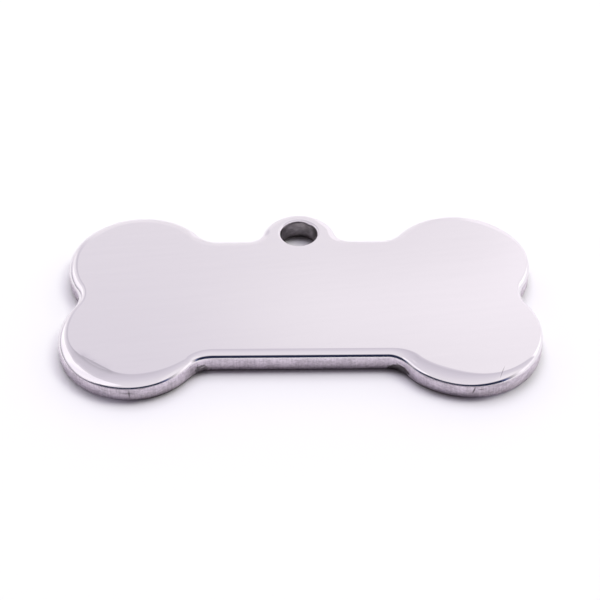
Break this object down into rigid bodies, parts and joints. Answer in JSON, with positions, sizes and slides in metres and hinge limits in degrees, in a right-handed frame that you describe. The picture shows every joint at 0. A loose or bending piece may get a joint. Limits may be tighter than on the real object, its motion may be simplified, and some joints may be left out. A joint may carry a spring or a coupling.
{
  "type": "pet id tag",
  "caption": "Bone-shaped polished steel pet identity tag, stamped in one piece, with a rolled front edge, blank faces and a lug with a hole for a split ring.",
  "frame": {"origin": "middle of the bone, on the flat back face", "axes": "+X along the bone's length, +Y towards the lug with the ring hole, +Z out of the front face, which has the rolled edge"},
  "size_m": [0.04, 0.0213, 0.0019],
  "materials": {
    "polished_steel": "solid stainless steel, buffed to a bright polish, with a satin sheared edge; not plated"
  },
  "bodies": {
    "root": {"tag_plate": "polished_steel"}
  },
  "joints": []
}
